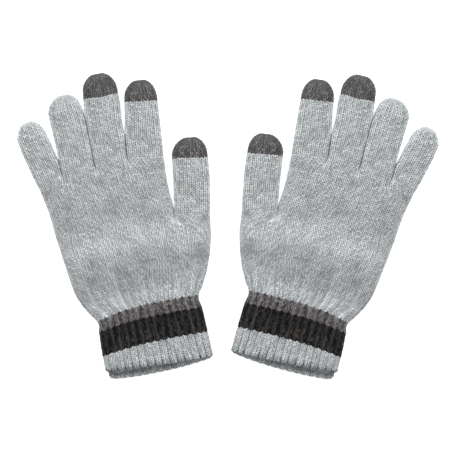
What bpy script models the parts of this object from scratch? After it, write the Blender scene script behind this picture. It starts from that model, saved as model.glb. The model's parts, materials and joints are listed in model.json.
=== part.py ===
"""A pair of knitted gloves with conductive fingertips, lying flat side by side.

Each glove is built in its own frame: the origin is at the middle of the wrist on the surface,
+X points to the thumb, +Y to the fingertips and +Z up. Every piece is a flattened sleeve of
fabric with a flat underside and an open inside. The pieces meet end to end with a small gap.
A finger and its tip hang from an empty on the fold line at the finger's root.
"""

import math
from collections import namedtuple

import bmesh
import bpy
from mathutils import Vector

MM = 0.001

# Fabric
WALL = 1.8 * MM                 # fabric and its loft
THICKNESS = 12.0 * MM           # height of the glove lying flat
JOIN_GAP = 0.3 * MM             # between pieces that meet
CROWN_POWER = 2.6               # roundness of a sleeve's section
UNDERSIDE_SINK = 0.62           # how far the section reaches down before it is cut flat
SIDE_BAND = 0.15                # share of the width, at each side, where the lining draws in

# Fingers: width at the root, widest width, length, lean from +Y in degrees, and the root's
# distance from the wrist. The thumb's root sits on the thumb crotch, so it has no reach.
Finger = namedtuple("Finger", "root wide length lean reach")
FINGERS = {
    "little": Finger(18.4 * MM, 21.0 * MM, 49.0 * MM, -10.8, 101.7 * MM),
    "ring": Finger(24.0 * MM, 24.2 * MM, 57.3 * MM, 0.0, 106.4 * MM),
    "middle": Finger(23.6 * MM, 24.6 * MM, 64.1 * MM, 2.3, 109.4 * MM),
    "index": Finger(25.8 * MM, 25.0 * MM, 55.9 * MM, 7.3, 107.2 * MM),
}
THUMB = Finger(24.4 * MM, 25.4 * MM, 55.2 * MM, 8.6, None)
WIDEST_AT = 0.3                 # share of a finger's length where it reaches its widest width
TIP_LENGTHS = {"thumb": 16.0 * MM, "index": 15.0 * MM, "middle": 16.6 * MM}
TIP_ROUND = 13.0 * MM           # length over which a fingertip rounds off
TIP_POWER = 2.3                 # how squarely it rounds off
TIP_CAP = 0.22                  # share of the width left at the very end
TIP_FLAT = 0.4                  # share of the height that would be left with no width
TIP_STEPS = (0.42, 0.72, 0.9, 1.0)  # shares of TIP_ROUND where the tip has a station
TUBE_STEPS = 3                  # stretches along the straight of a finger

# Hand
ROOT_ROW_SHIFT = -12.3 * MM     # middle of the row of finger roots, off the wrist's middle
PALM_WIDTH = 87.4 * MM          # at the thumb crotch
PALM_SHIFT = -10.5 * MM         # middle of that width, off the wrist's middle
CROTCH_REACH = 62.5 * MM        # thumb crotch from the wrist
HEEL_REACH = 18.0 * MM          # where the hand has opened out from the cuff
HEEL_WIDTH = 95.0 * MM
HEEL_SHIFT = -0.4 * MM
MID_REACH = 35.0 * MM
MID_WIDTH = 103.6 * MM
MID_SHIFT = 0.8 * MM

# Cuff
WRIST_WIDTH = 75.2 * MM
MOUTH_WIDTH = 78.0 * MM
GREY_BAND = 9.3 * MM
BLACK_BAND = 18.1 * MM
LIGHT_BAND = 13.2 * MM
EDGE_LENGTH = 3.0 * MM
LOWER_LIP = 3.2 * MM            # the lower layer reaches this much further at the mouth
BOW_OUTER = 3.4 * MM            # how far the bands curve back at the little finger's side
BOW_INNER = 1.0 * MM            # and at the thumb's side
MOUTH_RISE = 5.0 * MM           # how far the mouth draws up instead at the little finger's side
ELASTIC = 0.8 * MM              # thread diameter
ELASTIC_TURNS = 3
ELASTIC_PITCH = 7.0 * MM
ELASTIC_POINTS = 22             # a turn

# Pair
WRIST_SPACING = 109.2 * MM      # between the two wrists
WRIST_STAGGER = 1.0 * MM        # the right wrist lies this much further up
LEFT_TURN = 12.0                # degrees, fingers turned outwards
RIGHT_TURN = 15.2

# Mesh
COLUMNS = 7                     # points across a finger, on each face
CUFF_COLUMNS = 10               # and across the cuff
SHARP_ANGLE = math.radians(40)
PALM_COLUMNS = 5                # across the lower palm, up to the thumb crotch
SIDE_COLUMNS = (0.02, 0.07)     # shares of the palm's width where its side rounds over
RIM_STEP = 0.1 * MM             # width of the step between two finger roots in the palm's rim


def reset():
    """Empty the file of objects and return the collection for the pieces."""
    for old in list(bpy.data.objects):
        bpy.data.objects.remove(old, do_unlink=True)
    home = bpy.data.collections.new("touchscreen_gloves")
    bpy.context.scene.collection.children.link(home)
    return home


def fabric(name, colour, roughness):
    """A plain yarn material."""
    mat = bpy.data.materials.new(name)
    mat.use_nodes = True
    bsdf = mat.node_tree.nodes["Principled BSDF"]
    bsdf.inputs["Base Color"].default_value = (*colour, 1.0)
    bsdf.inputs["Roughness"].default_value = roughness
    bsdf.inputs["Metallic"].default_value = 0.0
    mat.diffuse_color = (*colour, 1.0)
    return mat


# Sections -------------------------------------------------------------------------------------

def even_columns(count):
    """Fractions across a sleeve, closer together near its two sides."""
    return [0.5 - 0.5 * math.cos(math.pi * (i + 1) / (count + 1)) for i in range(count)]


def section(line, columns, height, inset):
    """One ring of points round a sleeve.

    line(fraction) gives the plan point at a fraction across the sleeve, and its outer end and
    inner end are the sleeve's sides. inset is 0 outside and WALL inside.
    """
    shrink = inset / (line(1.0) - line(0.0)).length
    inner_height = height - 2 * inset
    base = (THICKNESS - height) / 2 + inset

    def point(fraction, upper):
        edge = min(fraction, 1 - fraction)
        push = shrink * max(0.0, 1 - edge / SIDE_BAND)
        plan = line(fraction + (push if fraction < 0.5 else -push))
        half = (1 - abs(2 * fraction - 1) ** CROWN_POWER) ** (1 / CROWN_POWER)
        if upper:
            level = 0.5 + 0.5 * half
        else:
            level = max(0.0, 0.5 - UNDERSIDE_SINK * half)
        return Vector((plan.x, plan.y, base + inner_height * level))

    ring = [point(0.0, True)]
    ring += [point(f, True) for f in columns]
    ring += [point(1.0, True)]
    ring += [point(f, False) for f in reversed(columns)]
    return ring


def sleeve(name, stations, columns, closed, side, home, material, lips=None):
    """A fabric sleeve lofted through its stations, open at its first end.

    Each station is a plan line and a height. lips, if given, moves the lower layer of the last
    station along Y. The far end is closed when closed is true.
    """
    mesh = bmesh.new()
    skins = []
    for inset in (0.0, WALL):
        rings = []
        for number, (line, height) in enumerate(stations):
            points = section(line, columns, height, inset)
            if lips and number == len(stations) - 1:
                for i in range(len(columns) + 2, len(points)):
                    share = math.sin(math.pi * columns[len(points) - 1 - i])
                    points[i].y += lips * share
            if closed and inset and number == len(stations) - 1:
                points = back_off(points, stations)
            rings.append([mesh.verts.new((side * p.x, p.y, p.z)) for p in points])
        skins.append(rings)
    outer, inner = skins
    count = len(outer[0])
    for rings, flip in ((outer, False), (inner, True)):
        for a, b in zip(rings, rings[1:]):
            for i in range(count):
                j = (i + 1) % count
                quad = [a[i], a[j], b[j], b[i]]
                mesh.faces.new(reversed(quad) if flip else quad)
    for i in range(count):
        j = (i + 1) % count
        mesh.faces.new([outer[0][j], outer[0][i], inner[0][i], inner[0][j]])
        if not closed:
            mesh.faces.new([outer[-1][i], outer[-1][j], inner[-1][j], inner[-1][i]])
    if closed:
        mesh.faces.new(outer[-1])
        mesh.faces.new(reversed(inner[-1]))
    bmesh.ops.recalc_face_normals(mesh, faces=mesh.faces)
    data = bpy.data.meshes.new(name)
    mesh.to_mesh(data)
    mesh.free()
    data.materials.append(material)
    obj = bpy.data.objects.new(name, data)
    home.objects.link(obj)
    data.shade_smooth()
    data.set_sharp_from_angle(angle=SHARP_ANGLE)
    return obj


def back_off(points, stations):
    """Hold the lining of a closed end one wall short of the cover."""
    last = stations[-1][0](0.5)
    before = stations[-2][0](0.5)
    direction = (last - before).normalized()
    return [Vector((p.x - direction.x * WALL, p.y - direction.y * WALL, p.z)) for p in points]


def straight(start, end):
    """A plan line from start to end."""
    return lambda fraction: start.lerp(end, fraction)


# Fingers --------------------------------------------------------------------------------------

def finger_ways(lean):
    """The way a leaning finger points, and the way across it to the thumb's side, in plan."""
    angle = math.radians(lean)
    forward = Vector((math.sin(angle), math.cos(angle)))
    return forward, Vector((forward.y, -forward.x))


def station(finger, along):
    """The station of a finger at a distance from its root, in the finger's own frame."""
    opened = min(1.0, along / (WIDEST_AT * finger.length))
    width = finger.root + (finger.wide - finger.root) * opened
    height = THICKNESS
    rounded = along - (finger.length - TIP_ROUND)
    if rounded > 0:
        arc = TIP_CAP + (1 - TIP_CAP) * math.sqrt(max(0.0, 1 - (rounded / TIP_ROUND) ** TIP_POWER))
        width *= arc
        height *= TIP_FLAT + (1 - TIP_FLAT) * arc
    return straight(Vector((-width / 2, along)), Vector((width / 2, along))), height


def tube_stations(finger, end):
    """Stations of a finger's tube, from its root to a distance along it."""
    return [station(finger, end * i / TUBE_STEPS) for i in range(TUBE_STEPS + 1)]


def tip_stations(finger, start):
    """Stations from start to the closed end, closer together as the tip rounds off."""
    bend = finger.length - TIP_ROUND
    return [station(finger, along) for along in (start, bend, *(bend + TIP_ROUND * t for t in TIP_STEPS))]


def root_row():
    """Plan centres of the four finger roots, side by side across the hand."""
    spans = {name: size.root * math.cos(math.radians(size.lean)) for name, size in FINGERS.items()}
    total = sum(spans.values()) + JOIN_GAP * (len(spans) - 1)
    cursor = ROOT_ROW_SHIFT - total / 2
    centres = {}
    for name, span in spans.items():
        centres[name] = Vector((cursor + span / 2, FINGERS[name].reach))
        cursor += span + JOIN_GAP
    return centres


def root_corners(finger, centre, back):
    """The two ends of a finger's root line, moved back from the finger by a distance."""
    forward, across = finger_ways(finger.lean)
    middle = centre - forward * back
    return middle - across * (finger.root / 2), middle + across * (finger.root / 2)


def thumb_centre():
    """Plan centre of the thumb's root, beside the upper palm's thumb side."""
    across = finger_ways(THUMB.lean)[1]
    corner = Vector((PALM_SHIFT + PALM_WIDTH / 2 + JOIN_GAP, CROTCH_REACH + JOIN_GAP))
    return corner + across * (THUMB.root / 2)


def fold_empty(name, centre, lean, side, hand, home):
    """An empty on a finger's fold line, at the upper face of the fabric."""
    empty = bpy.data.objects.new(name, None)
    empty.empty_display_size = 0.01
    home.objects.link(empty)
    empty.parent = hand
    place = centre - finger_ways(lean)[0] * (JOIN_GAP / 2)
    empty.location = (side * place.x, place.y, THICKNESS)
    empty.rotation_euler = (0.0, 0.0, -side * math.radians(lean))
    return empty


def finger(name, size, centre, side, prefix, hand, home, yarns):
    """One finger: its fold empty, its tube and, where it has one, its conductive tip."""
    fold = fold_empty(f"{prefix}_{name}_fold", centre, size.lean, side, hand, home)
    columns = even_columns(COLUMNS)
    tube = f"{prefix}_{name}" if name == "thumb" else f"{prefix}_{name}_finger"
    if name in TIP_LENGTHS:
        seam = size.length - TIP_LENGTHS[name]
        tip = f"{prefix}_{name}_tip"
        pieces = [
            sleeve(tube, tube_stations(size, seam - JOIN_GAP), columns, False, side, home, yarns["light"]),
            sleeve(tip, tip_stations(size, seam), columns, True, side, home, yarns["charcoal"]),
        ]
    else:
        stations = tube_stations(size, size.length - TIP_ROUND)[:-1]
        stations += tip_stations(size, size.length - TIP_ROUND)[1:]
        pieces = [sleeve(tube, stations, columns, True, side, home, yarns["light"])]
    for piece in pieces:
        piece.parent = fold
        piece.location = (0.0, JOIN_GAP / 2, -THICKNESS)


# Hand -----------------------------------------------------------------------------------------

def broken_line(points):
    """A plan line through points, by their share of the distance along X."""
    first = points[0].x
    span = points[-1].x - first

    def line(fraction):
        x = first + span * fraction
        for a, b in zip(points, points[1:]):
            if x <= b.x or b is points[-1]:
                share = (x - a.x) / (b.x - a.x)
                return a.lerp(b, share)
        return points[-1]

    return line


def upper_palm(side, prefix, hand, home, yarns):
    """Four-finger part of the hand, its upper rim stepped to meet the finger roots."""
    rim = []
    for name, centre in root_row().items():
        outer, inner = root_corners(FINGERS[name], centre, JOIN_GAP)
        if rim:
            shared = (rim[-1].x + outer.x) / 2
            rim[-1] = Vector((shared - RIM_STEP / 2, rim[-1].y))
            outer = Vector((shared + RIM_STEP / 2, outer.y))
        rim += [outer, inner]
    first = rim[0].x
    span = rim[-1].x - first
    corners = [(point.x - first) / span for point in rim]
    middles = [(low + high) / 2 for low, high in zip(corners[::2], corners[1::2])]
    columns = sorted([*SIDE_COLUMNS, *corners[1:-1], *middles, *(1 - c for c in SIDE_COLUMNS)])
    foot = CROTCH_REACH + JOIN_GAP
    outer = Vector((PALM_SHIFT - PALM_WIDTH / 2, foot))
    inner = Vector((PALM_SHIFT + PALM_WIDTH / 2, foot))
    bottom = straight(outer, inner)
    top = broken_line(rim)

    def between(share):
        return lambda fraction: bottom(fraction).lerp(top(fraction), share)

    stations = [(between(share), THICKNESS) for share in (0.0, 0.5, 1.0)]
    piece = sleeve(f"{prefix}_upper_palm", stations, columns, False, side, home, yarns["light"])
    piece.parent = hand


def bowed(reach, width, shift=0.0, outer_bow=BOW_OUTER):
    """A plan line across the glove that curves back towards its two sides."""

    def line(fraction):
        off = 2 * fraction - 1
        bow = (outer_bow if off < 0 else BOW_INNER) * off * off
        return Vector((shift + off * width / 2, reach - bow))

    return line


def lower_palm(side, prefix, hand, home, yarns):
    """Five-finger part of the hand, from the cuff to the upper palm and the thumb."""
    inner_root = root_corners(THUMB, thumb_centre(), JOIN_GAP)[1]
    far_side = Vector((PALM_SHIFT - PALM_WIDTH / 2, CROTCH_REACH))
    crotch = Vector((PALM_SHIFT + PALM_WIDTH / 2, CROTCH_REACH))
    rim = broken_line([far_side, crotch, inner_root])
    crotch_share = PALM_WIDTH / (inner_root.x - far_side.x)
    across = [crotch_share * (i + 1) / PALM_COLUMNS for i in range(PALM_COLUMNS)]
    thumb_middle = (1 + crotch_share) / 2
    columns = sorted([*SIDE_COLUMNS, *across, thumb_middle, *(1 - c for c in SIDE_COLUMNS)])
    stations = [
        (bowed(JOIN_GAP, WRIST_WIDTH), THICKNESS),
        (bowed(HEEL_REACH / 3, (2 * WRIST_WIDTH + HEEL_WIDTH) / 3), THICKNESS),
        (bowed(HEEL_REACH, HEEL_WIDTH, HEEL_SHIFT), THICKNESS),
        (bowed(MID_REACH, MID_WIDTH, MID_SHIFT), THICKNESS),
        (rim, THICKNESS),
    ]
    piece = sleeve(f"{prefix}_lower_palm", stations, columns, False, side, home, yarns["light"])
    piece.parent = hand


# Cuff -----------------------------------------------------------------------------------------

def cuff_line(below):
    """The plan line across the cuff at a distance below the wrist."""
    stripes = GREY_BAND + BLACK_BAND
    share = below / (stripes + LIGHT_BAND + EDGE_LENGTH)
    drawn_up = max(0.0, below - stripes) / (LIGHT_BAND + EDGE_LENGTH)
    width = WRIST_WIDTH + (MOUTH_WIDTH - WRIST_WIDTH) * share
    return bowed(-below, width, outer_bow=BOW_OUTER - (BOW_OUTER + MOUTH_RISE) * drawn_up)


def cuff(side, prefix, hand, home, yarns):
    """The four ribbed pieces of the cuff, one below another."""
    bands = (
        ("cuff_grey_band", GREY_BAND, "grey"),
        ("cuff_black_band", BLACK_BAND, "black"),
        ("cuff_light_band", LIGHT_BAND, "light"),
        ("cuff_edge", EDGE_LENGTH, "light"),
    )
    columns = even_columns(CUFF_COLUMNS)
    reach = 0.0
    for name, length, yarn in bands:
        foot = reach + length - JOIN_GAP
        stations = [(cuff_line(below), THICKNESS) for below in (reach, foot)]
        lips = -LOWER_LIP if name == "cuff_edge" else None
        piece = sleeve(f"{prefix}_{name}", stations, columns, False, side, home, yarns[yarn], lips)
        piece.parent = hand
        reach += length


def elastic(side, prefix, hand, home, yarns):
    """The elastic thread, one continuous coil against the cuff's lining."""
    radius = ELASTIC / 2
    inset = WALL + JOIN_GAP + radius
    count = ELASTIC_TURNS * ELASTIC_POINTS
    curve = bpy.data.curves.new(f"{prefix}_cuff_elastic", "CURVE")
    curve.dimensions = "3D"
    curve.bevel_depth = radius
    curve.bevel_resolution = 1
    curve.use_fill_caps = True
    spline = curve.splines.new("POLY")
    spline.points.add(count)
    start = GREY_BAND + ELASTIC_PITCH / 2
    for i in range(count + 1):
        turn = i / ELASTIC_POINTS
        angle = 2 * math.pi * turn
        line = cuff_line(start + ELASTIC_PITCH * turn)
        across = math.cos(angle)
        half = (1 - abs(across) ** CROWN_POWER) ** (1 / CROWN_POWER)
        x = across * (line(1.0).x - inset)
        z = THICKNESS / 2 + math.copysign(half, math.sin(angle)) * (THICKNESS / 2 - inset)
        spline.points[i].co = (side * x, line(0.5 + 0.5 * across).y, z, 1.0)
    obj = bpy.data.objects.new(f"{prefix}_cuff_elastic", curve)
    obj.data.materials.append(yarns["elastic"])
    home.objects.link(obj)
    obj.parent = hand


# Assembly -------------------------------------------------------------------------------------

def glove(prefix, side, turn, place, home, yarns):
    """One glove on its own empty."""
    hand = bpy.data.objects.new(f"{prefix}_glove_place", None)
    hand.empty_display_size = 0.02
    home.objects.link(hand)
    hand.location = place
    hand.rotation_euler = (0.0, 0.0, side * math.radians(turn))
    for name, centre in root_row().items():
        finger(name, FINGERS[name], centre, side, prefix, hand, home, yarns)
    finger("thumb", THUMB, thumb_centre(), side, prefix, hand, home, yarns)
    upper_palm(side, prefix, hand, home, yarns)
    lower_palm(side, prefix, hand, home, yarns)
    cuff(side, prefix, hand, home, yarns)
    elastic(side, prefix, hand, home, yarns)
    return hand


def centre_pair(hands, home):
    """Move both gloves together so that the pair's box is centred on the origin in plan."""
    bpy.context.view_layer.update()
    meshes = [obj for obj in home.objects if obj.type == "MESH"]
    points = [obj.matrix_world @ v.co for obj in meshes for v in obj.data.vertices]
    middle_x = (min(p.x for p in points) + max(p.x for p in points)) / 2
    middle_y = (min(p.y for p in points) + max(p.y for p in points)) / 2
    for hand in hands:
        hand.location.x -= middle_x
        hand.location.y -= middle_y


def main():
    home = reset()
    yarns = {
        "light": fabric("light_grey_yarn", (0.43, 0.445, 0.455), 0.9),
        "charcoal": fabric("conductive_yarn", (0.12, 0.118, 0.116), 0.85),
        "grey": fabric("dark_grey_yarn", (0.14, 0.135, 0.137), 0.9),
        "black": fabric("black_yarn", (0.021, 0.021, 0.02), 0.9),
        "elastic": fabric("elastic_thread", (0.7, 0.7, 0.68), 0.5),
    }
    half = WRIST_SPACING / 2
    left = glove("left", 1, LEFT_TURN, (-half, 0.0, 0.0), home, yarns)
    right = glove("right", -1, RIGHT_TURN, (half, WRIST_STAGGER, 0.0), home, yarns)
    centre_pair((left, right), home)


main()
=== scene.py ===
"""Looks of the knitted touchscreen gloves: every piece is knitted stitch by stitch over its CAD solid.

Each glove is worked in its own frame, in millimetres: +X to the thumb, +Y to the fingertips, +Z up,
with the origin on the fold line of the wrist. The fabric is a sleeve of stitches. A wale is a column
of stitches and a course is a row of them. The wales of the cuff run up through the hand and on into
the fingers, and the sleeve is cut into pieces where the CAD model has its nodes.
"""

import json
import math

import bpy
import numpy as np
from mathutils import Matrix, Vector


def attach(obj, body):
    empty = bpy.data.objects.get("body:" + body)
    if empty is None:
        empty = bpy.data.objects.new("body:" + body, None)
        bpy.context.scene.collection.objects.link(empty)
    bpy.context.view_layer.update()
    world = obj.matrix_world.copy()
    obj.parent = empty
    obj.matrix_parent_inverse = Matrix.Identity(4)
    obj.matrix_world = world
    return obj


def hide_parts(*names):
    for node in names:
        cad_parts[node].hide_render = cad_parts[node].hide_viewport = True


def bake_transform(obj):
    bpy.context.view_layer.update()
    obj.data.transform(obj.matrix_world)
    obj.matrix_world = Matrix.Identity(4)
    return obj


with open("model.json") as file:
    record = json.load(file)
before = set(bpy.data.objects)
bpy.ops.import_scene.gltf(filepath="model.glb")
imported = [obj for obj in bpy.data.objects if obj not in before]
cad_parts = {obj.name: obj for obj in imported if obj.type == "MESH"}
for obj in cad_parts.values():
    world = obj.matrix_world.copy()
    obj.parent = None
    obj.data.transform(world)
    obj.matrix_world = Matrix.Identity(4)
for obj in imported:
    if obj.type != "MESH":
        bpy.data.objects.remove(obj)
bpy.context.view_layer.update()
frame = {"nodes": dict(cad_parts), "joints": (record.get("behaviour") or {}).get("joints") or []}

MM = 0.001
SIDES = ("left", "right")
FINGERS = ("little", "ring", "middle", "index")
STRIPS = (*FINGERS, "thumb")
SEED = 11                       # of both gloves, so that they are knitted alike

# Knitting
WALES = {"little": 8, "ring": 10, "middle": 10, "index": 10, "thumb": 10}  # on each face
WALE = 2.5                      # width of a wale
COURSE = 1.8                    # height of a course
COLUMNS = 6                     # mesh columns in a wale
ROWS = 4                        # mesh rows in a course
CHEVRON = 0.6                   # how far a stitch's legs rise from its middle, in courses
STITCH_RELIEF = 0.6             # how far a stitch stands out
STITCH_LOFT = (0.8, 1.15)       # and the shares of it that single stitches have
FULL_STITCH = (2.2, 1.4)        # a stitch narrower or lower than this stands out less
SWELLS = ((17.0, 0.35), (7.0, 0.22))  # size and height of the fabric's soft hills
WANDER = 0.25                   # how far a wale wanders aside
RIBBED_WANDER = 0.45
WANDER_SPAN = (4.0, 7.0)        # over this many wales and courses
SKIN = 0.15                     # stitches stand inside the outline by this much
FABRIC = 1.1                    # thickness of the fabric under its stitches
LINING_ROWS = 2 * ROWS          # rows of the outside for each row of the lining

# Ribs, and the loose folds above the wrist, in wales and courses where they aren't depths
RIB = 3                         # wales in a rib: two raised with one sunk between ribs
SUNK_SHARE = 0.17               # share of the rib's width that the sunk wale keeps
RIB_DEPTH = 1.9
RIB_LIFT = 1.5                  # how far a rib draws its courses up
RIB_REACH = (9.0, 14.0)         # how far up the hand a rib runs at least, and at most beyond that
RIB_UNEVEN = (4.0, 9.0)         # span over which a rib's depth varies
DRAWN_IN = 9.0                  # courses above the wrist over which the wales even out
FOLD_DEPTH = 1.1                # of the loose folds
FOLD_REACH = 26.0               # how far up they run
FOLD_SPAN = (2.6, 14.0)         # and their own size

# Courses in each part, from the mouth up
EDGE_COURSES = 2
LIGHT_COURSES = 8
BLACK_COURSES = 10
GREY_COURSES = 5
LOWER_COURSES = 34
UPPER_COURSES = 24
TIP_COURSES = 8
CUFF_COURSES = EDGE_COURSES + LIGHT_COURSES + BLACK_COURSES + GREY_COURSES
HAND_COURSES = LOWER_COURSES + UPPER_COURSES

# Outline of the hand: distance up from the wrist fold, and the fabric's two sides there
OUTLINE = (
    (8.0, -42.6, 41.7),
    (18.0, -48.0, 47.1),
    (35.0, -51.2, 53.7),
)
HAND_WIDTH = 96.0               # taken for its rounding
HEEL_BOW = (3.0, 0.9)           # how far courses just above the wrist bow down at the two sides
HEEL_BOW_FADE = 34.0            # and how high up they are straight
CROTCH_RISE = 62.4              # thumb crotch above the wrist fold
PALM_SIDES = (-54.1, 33.4)      # the fabric's two sides at the thumb crotch
UPPER_MIDDLE = (84.0, -55.3, 32.3)  # the same, halfway up the upper palm
THUMB_HEEL = 0.6                # how far the fabric stands out beyond the thumb's root
KNUCKLE_LIFT = 0.6              # the fabric between two roots sits this much higher

# Cuff: rise of each line across it, and how far it bows down at the outer and inner sides
WRIST_LINE = (2.4, 5.2, 1.2)
GREY_LINE = (-6.8, 3.4, 1.0)
BLACK_LINE = (-25.0, 3.0, 0.8)
CUFF_SIDES = ((-37.4, 37.6), (-37.9, 38.1), (-38.9, 38.6), (-39.4, 39.0))
MOUTH = -43.6
MOUTH_CORNER = 5.6              # rise of the mouth's outer corner
UPPER_LIP = 5.0                 # of it, what the upper lip loses slowly along its length
LOWER_LIP = 3.4                 # how far the lower layer shows past the upper one

# Heights of the fabric lying on the surface, by course from the wrist
TOP_LEVELS = (
    (-25, 11.4), (-18, 11.4), (-4, 10.9), (0, 11.7), (3, 12.5), (7, 11.9), (12, 11.7), (22, 13.2),
    (34, 11.7), (44, 12.0), (58, 10.4),
)
SIDE_LEVEL = 4.8                # height of the fold along each side
FLOOR_LEVEL = 0.85              # height at which the lower layer rests
FINGER_TOP = 10.4
PINCH = 0.25                    # half the gap between the layers where two fingers part
FINGER_ROLL = 0.2               # share of a finger's width over which each side rounds
LOBE_FADE = 10.0                # how far below the roots the finger lobes run out
CUFF_ROLL = 9.0                 # how wide the sides round over
PALM_ROLL = 15.0
ROLL_LEVELS = ((-25, CUFF_ROLL), (0, CUFF_ROLL), (12, PALM_ROLL), (58, PALM_ROLL))
ANY_ROLL = 100.0                # for fingers, where the finger's own share counts
UNDER_ROLL = 0.55               # and how much narrower underneath
TIP_ROUND = 13.0                # length over which a fingertip rounds off
TIP_TURN = 0.97                 # of a quarter turn that the rounding takes
TIP_END = 0.07                  # share of a finger's width left at its very end
SEAM_DROP = -0.5                # the line where a tip begins sits this much lower
SEAM_WAVES = 1.1                # how far the line where a tip begins wanders
SEAM_REACH = 7.0                # how far along the finger the courses follow it
FINGER_LEVEL_FADE = 14.0        # length over which a finger takes its own height
JOIN_FADE = 5.0                 # length over which a piece takes over from its neighbour's edge

# Painted light and shade along the hand, by course from the wrist, and how much a fold changes it
PAINTED_SHADING = (
    (-25, 1.14), (-16, 1.08), (-1, 0.99), (1, 1.26), (4, 1.18), (7, 1.02), (11, 0.91), (16, 0.95),
    (22, 1.06), (26, 1.15), (29, 1.12), (33, 1.03), (38, 0.97), (48, 0.95), (55, 0.97), (60, 1.03),
)
FOLD_PAINTED_SHADING = 0.13
# painted light on the lining, which shows in shade at the cuff's mouth
LINING_PAINTED_LIGHT = 1.7
# the fingers' colour a little lighter than the hand's
FINGER_COLOUR_LIFT = 1.02
SIDE_PAINTED_LIGHT = (0.7, 0.3)           # painted light where the fabric rounds down, and at most
MOUTH_SHADE = 0.52              # painted shade: how much darker at the mouth
MOUTH_SHADE_COURSES = 2.2
MOUTH_SHADE_ENDS = (1.1, 0.1)   # share of that at the mouth's outer and inner end

# Outline of each finger in its own frame: distances from its root and, there, its outer side and
# its inner side from its middle line. The last numbers are how far the tip leans inwards and how
# much shorter the fabric is than the finger.
FINGER_SIDES = {
    "little": (
        ((0, -9.8), (20, -10.9), (38, -10.9)),
        ((0, 9.1), (13, 11.2), (18, 10.7), (25, 10.6), (36, 10.2)), 1.0, 0.5,
    ),
    "ring": (
        ((0, -12.6), (11, -12.6), (16, -12.4), (30, -12.9), (44, -13.3)),
        ((0, 11.8), (20, 12.3), (38, 12.1), (45, 11.1)), 1.0, 0.2,
    ),
    "middle": (
        ((0, -12.3), (20, -12.9), (35, -13.2), (51, -11.8)),
        ((0, 11.6), (16, 12.7), (27, 12.3), (40, 13.0), (51, 13.1)), 0.2, 0.0,
    ),
    "index": (
        ((0, -13.2), (16, -13.4), (30, -12.2), (43, -11.6)),
        ((0, 13.1), (20, 12.6), (34, 12.1), (43, 11.8)), 0.3, 0.0,
    ),
    "thumb": (
        ((0, -12.2), (6, -12.3), (20, -12.0), (42, -11.8)),
        ((0, 13.2), (23, 14.2), (42, 13.6)), 1.0, 0.8,
    ),
}

# How far up its outer and inner sides a finger lies against its neighbour, with painted shade in the
# crease
TOUCH = {"little": (0, 14), "ring": (13, 38), "middle": (36, 15), "index": (17, 0), "thumb": (0, 0)}
TOUCH_WIDTH = 2.2               # columns of shade to each side of where they touch

# Joints
FINGER_BEND = (3.0, 15.0)       # from the root along a finger, where it turns
WRIST_BEND = (8.0, -5.6)        # and from the wrist fold
BEND_HEIGHT = 12.0              # of the hinges

# Elastic thread: where its coil starts below the wrist and its rise in each turn, in courses
ELASTIC_TURNS = 3
ELASTIC_START = 7.1
ELASTIC_PITCH = 3.8
ELASTIC_THREAD = 0.4            # radius
ELASTIC_DEPTH = 0.55            # of its middle below the outside
ELASTIC_SIDES = 6
ELASTIC_STEP = 4                # mesh columns between its points

# Picture
VIEW_SPAN = 327.1               # width that the camera takes in, at the gloves' middle height
VIEW_CENTRE = (-1.5, -1.9)
CAMERA_HEIGHT = 2000.0
SENSOR = 36.0
FLOOR_COLOUR = (0.6, 0.6, 0.6, 1.0)
FLOOR_REACH = 3.0               # metres each way
FLOOR_LIGHT = 0.45              # the lit table's own light on the gloves
FLOOR_GLOW = 0.41               # lifts the table to white where it is looked at
SKY_LIGHT = 0.2                 # the room's light on the gloves
LAMPS = {                       # place in metres, size and power
    "left_light": ((-0.95, 0.85, 0.95), 0.6, 15.6),
    "right_light": ((0.95, 0.85, 0.95), 0.6, 15.6),
    "front_light": ((0.0, -0.9, 1.5), 1.2, 3.0),
}
MIDDLE_HEIGHT = 6.0


# Small tools ------------

def smooth(low, high, value):
    """0 below low, 1 above high, and an even ramp between."""
    t = np.clip((np.asarray(value, float) - low) / (high - low), 0.0, 1.0)
    return t * t * (3 - 2 * t)


def spline(knots, values, at):
    """A smooth curve through values at knots, read at each place. A value may be an array."""
    knots = np.asarray(knots, float)
    values = np.asarray(values, float)
    slopes = np.gradient(values, knots, axis=0)
    at = np.clip(np.asarray(at, float), knots[0], knots[-1])
    cell = np.clip(np.searchsorted(knots, at, side="right") - 1, 0, len(knots) - 2)
    shape = (-1,) + (1,) * (values.ndim - 1)
    width = (knots[cell + 1] - knots[cell]).reshape(shape)
    t = (at - knots[cell]).reshape(shape) / width
    low, high = values[cell], values[cell + 1]
    out = low * (2 * t**3 - 3 * t**2 + 1) + high * (3 * t**2 - 2 * t**3)
    return out + slopes[cell] * width * (t**3 - 2 * t**2 + t) + slopes[cell + 1] * width * (t**3 - t**2)


def read(table, at):
    """A table of places and values, read at each place on a smooth curve."""
    knots = np.array(table, float)
    return spline(knots[:, 0], knots[:, 1], at)


def unit(ways):
    """Directions brought to length 1."""
    return ways / np.maximum(np.linalg.norm(ways, axis=-1, keepdims=True), 1e-9)


def cloud(x, y, size, seed):
    """Soft random hills, -1 to 1, about size across."""
    count = 64
    lattice = np.random.default_rng(seed).uniform(-1, 1, (count, count))
    gx, gy = np.asarray(x) / size + 31.3, np.asarray(y) / size + 27.7
    ix, iy = np.floor(gx).astype(int), np.floor(gy).astype(int)
    fx, fy = gx - ix, gy - iy
    fx, fy = fx * fx * (3 - 2 * fx), fy * fy * (3 - 2 * fy)
    ix, iy = ix % (count - 1), iy % (count - 1)
    low = lattice[ix, iy] * (1 - fx) + lattice[ix + 1, iy] * fx
    high = lattice[ix, iy + 1] * (1 - fx) + lattice[ix + 1, iy + 1] * fx
    return low * (1 - fy) + high * fy


def crown(share):
    """Height of a rounded section, 0 at its side and 1 at share 1 and beyond."""
    return np.sqrt(1 - (1 - np.clip(share, 0, 1)) ** 2.4)


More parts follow.
